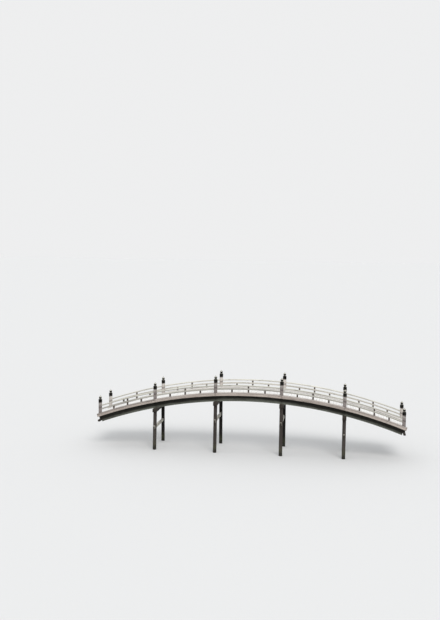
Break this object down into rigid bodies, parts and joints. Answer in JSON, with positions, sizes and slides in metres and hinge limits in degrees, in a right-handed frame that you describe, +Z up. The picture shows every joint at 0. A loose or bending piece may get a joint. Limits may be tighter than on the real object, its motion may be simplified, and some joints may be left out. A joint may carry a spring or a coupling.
{
  "type": "moon bridge",
  "caption": "Arched timber garden footbridge on leaning pairs of round piles, with a planked deck, curbs, railings and round newel posts under onion-shaped cast caps.",
  "frame": {"origin": "midspan, on the centreline, at the level of the water where the piles end", "axes": "+X along the bridge to the right as the picture shows it, +Y across it away from the camera, +Z up"},
  "size_m": [22.4721, 3.4982, 5.6405],
  "materials": {
    "pile_wood": "round logs, rough and dark with damp",
    "beam_wood": "sawn, weathered, unpainted",
    "girder_wood": "sawn, weathered, unpainted",
    "tie_wood": "sawn, weathered pale on top",
    "wedge_wood": "split, weathered",
    "deck_wood": "bleached by the sun, matt",
    "fascia_wood": "weathered grey with a faint red cast",
    "curb_wood": "weathered grey, worn edges",
    "rail_wood": "weathered silver grey",
    "strut_wood": "weathered grey",
    "newel_wood": "round, weathered grey",
    "cap_metal": "cast, dark with age, the tip rubbed bright"
  },
  "bodies": {
    "root": {"pile_1_near": "pile_wood", "pile_1_far": "pile_wood", "cap_beam_1": "beam_wood", "tie_beam_1": "tie_wood", "pile_2_near": "pile_wood", "pile_2_far": "pile_wood", "cap_beam_2": "beam_wood", "tie_beam_2": "tie_wood", "pile_3_near": "pile_wood", "pile_3_far": "pile_wood", "cap_beam_3": "beam_wood", "tie_beam_3": "tie_wood", "pile_4_near": "pile_wood", "pile_4_far": "pile_wood", "cap_beam_4": "beam_wood", "tie_beam_4": "tie_wood", "tie_wedges": "wedge_wood", "sill_left": "beam_wood", "sill_right": "beam_wood", "girders_bay_1": "girder_wood", "deck_bay_1": "deck_wood", "girders_bay_2": "girder_wood", "deck_bay_2": "deck_wood", "girders_bay_3": "girder_wood", "deck_bay_3": "deck_wood", "girders_bay_4": "girder_wood", "deck_bay_4": "deck_wood", "girders_bay_5": "girder_wood", "deck_bay_5": "deck_wood", "fascia_near": "fascia_wood", "curb_near": "curb_wood", "middle_rail_near": "rail_wood", "top_rail_near": "rail_wood", "short_struts_near": "strut_wood", "tall_struts_near": "strut_wood", "newels_near": "newel_wood", "newel_caps_near": "cap_metal", "fascia_far": "fascia_wood", "curb_far": "curb_wood", "middle_rail_far": "rail_wood", "top_rail_far": "rail_wood", "short_struts_far": "strut_wood", "tall_struts_far": "strut_wood", "newels_far": "newel_wood", "newel_caps_far": "cap_metal"}
  },
  "joints": []
}
